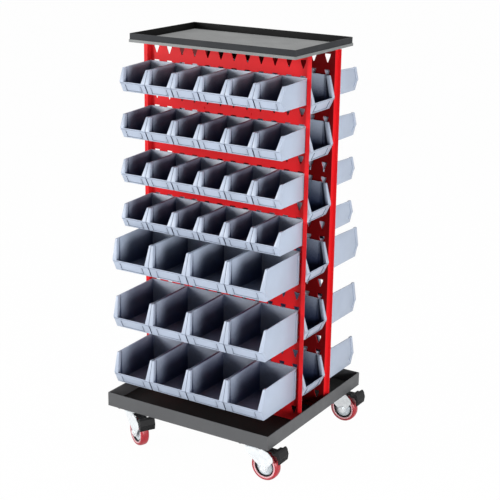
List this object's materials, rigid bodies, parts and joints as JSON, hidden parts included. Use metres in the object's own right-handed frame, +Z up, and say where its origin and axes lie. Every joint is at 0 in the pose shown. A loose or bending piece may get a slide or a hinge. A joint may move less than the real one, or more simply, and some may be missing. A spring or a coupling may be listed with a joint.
{
  "type": "bin trolley",
  "caption": "Mobile rack of slotted sheet panels on a square pan, with hook-on open-front bins on every side, a top tray and braked swivel casters",
  "frame": {"origin": "centre of the bounding box on the floor, under the middle of the frame", "axes": "+X along the wide panels to the right as seen from the front, +Y from front to back, +Z up"},
  "size_m": [0.72, 0.7068, 1.404],
  "materials": {
    "panels": "gloss",
    "bins": "satin",
    "pan": "satin",
    "pan_mat": "matte",
    "top_plate": "satin",
    "tray": "satin",
    "tray_mat": "matte",
    "black": "satin",
    "zinc": "satin",
    "hub": "satin",
    "tyre": "satin"
  },
  "bodies": {
    "rack": {"base_pan": "pan", "pan_mat": "pan_mat", "front_panel": "panels", "back_panel": "panels", "left_recess_panel": "panels", "right_recess_panel": "panels", "panel_screws": "zinc", "top_plate": "top_plate", "top_tray": "tray", "tray_mat": "tray_mat", "caster_screws": "zinc", "front_small_bins_1": "bins", "front_small_bins_2": "bins", "front_small_bins_3": "bins", "front_small_bins_4": "bins", "back_small_bins_1": "bins", "back_small_bins_2": "bins", "back_small_bins_3": "bins", "back_small_bins_4": "bins", "front_large_bins_1": "bins", "front_large_bins_2": "bins", "front_large_bins_3": "bins", "back_large_bins_1": "bins", "back_large_bins_2": "bins", "back_large_bins_3": "bins", "left_recess_bins": "bins", "right_recess_bins": "bins", "caster_plate_fl": "zinc", "caster_plate_fr": "zinc", "caster_plate_bl": "zinc", "caster_plate_br": "zinc"},
    "swivel_fl": {"fork_fl": "zinc", "axle_fl": "zinc"},
    "wheel_fl": {"hub_fl": "hub", "tyre_fl": "tyre"},
    "brake_fl": {"pedal_fl": "black"},
    "swivel_fr": {"fork_fr": "zinc", "axle_fr": "zinc"},
    "wheel_fr": {"hub_fr": "hub", "tyre_fr": "tyre"},
    "brake_fr": {"pedal_fr": "black"},
    "swivel_bl": {"fork_bl": "zinc", "axle_bl": "zinc"},
    "wheel_bl": {"hub_bl": "hub", "tyre_bl": "tyre"},
    "brake_bl": {"pedal_bl": "black"},
    "swivel_br": {"fork_br": "zinc", "axle_br": "zinc"},
    "wheel_br": {"hub_br": "hub", "tyre_br": "tyre"},
    "brake_br": {"pedal_br": "black"}
  },
  "joints": [
    {"name": "swivel_fl", "type": "hinge", "parent": "rack", "child": "swivel_fl", "pos_m": [-0.248, -0.276, 0.12], "axis": [0, 0, 1], "continuous": true},
    {"name": "roll_fl", "type": "hinge", "parent": "swivel_fl", "child": "wheel_fl", "pos_m": [-0.20918, -0.29671, 0.05], "axis": [0.4706, 0.8824, 0], "continuous": true},
    {"name": "brake_fl", "type": "hinge", "parent": "swivel_fl", "child": "brake_fl", "pos_m": [-0.22682, -0.28729, 0.106], "axis": [0.4706, 0.8824, 0], "range_deg": [0, 12]},
    {"name": "swivel_fr", "type": "hinge", "parent": "rack", "child": "swivel_fr", "pos_m": [0.248, -0.276, 0.12], "axis": [0, 0, 1], "continuous": true},
    {"name": "roll_fr", "type": "hinge", "parent": "swivel_fr", "child": "wheel_fr", "pos_m": [0.292, -0.276, 0.05], "axis": [0, 1, 0], "continuous": true},
    {"name": "brake_fr", "type": "hinge", "parent": "swivel_fr", "child": "brake_fr", "pos_m": [0.272, -0.276, 0.106], "axis": [0, 1, 0], "range_deg": [0, 12]},
    {"name": "swivel_bl", "type": "hinge", "parent": "rack", "child": "swivel_bl", "pos_m": [-0.248, 0.276, 0.12], "axis": [0, 0, 1], "continuous": true},
    {"name": "roll_bl", "type": "hinge", "parent": "swivel_bl", "child": "wheel_bl", "pos_m": [-0.28682, 0.29671, 0.05], "axis": [-0.4706, -0.8824, 0], "continuous": true},
    {"name": "brake_bl", "type": "hinge", "parent": "swivel_bl", "child": "brake_bl", "pos_m": [-0.26918, 0.28729, 0.106], "axis": [-0.4706, -0.8824, 0], "range_deg": [0, 12]},
    {"name": "swivel_br", "type": "hinge", "parent": "rack", "child": "swivel_br", "pos_m": [0.248, 0.276, 0.12], "axis": [0, 0, 1], "continuous": true},
    {"name": "roll_br", "type": "hinge", "parent": "swivel_br", "child": "wheel_br", "pos_m": [0.292, 0.276, 0.05], "axis": [0, 1, 0], "continuous": true},
    {"name": "brake_br", "type": "hinge", "parent": "swivel_br", "child": "brake_br", "pos_m": [0.272, 0.276, 0.106], "axis": [0, 1, 0], "range_deg": [0, 12]}
  ]
}
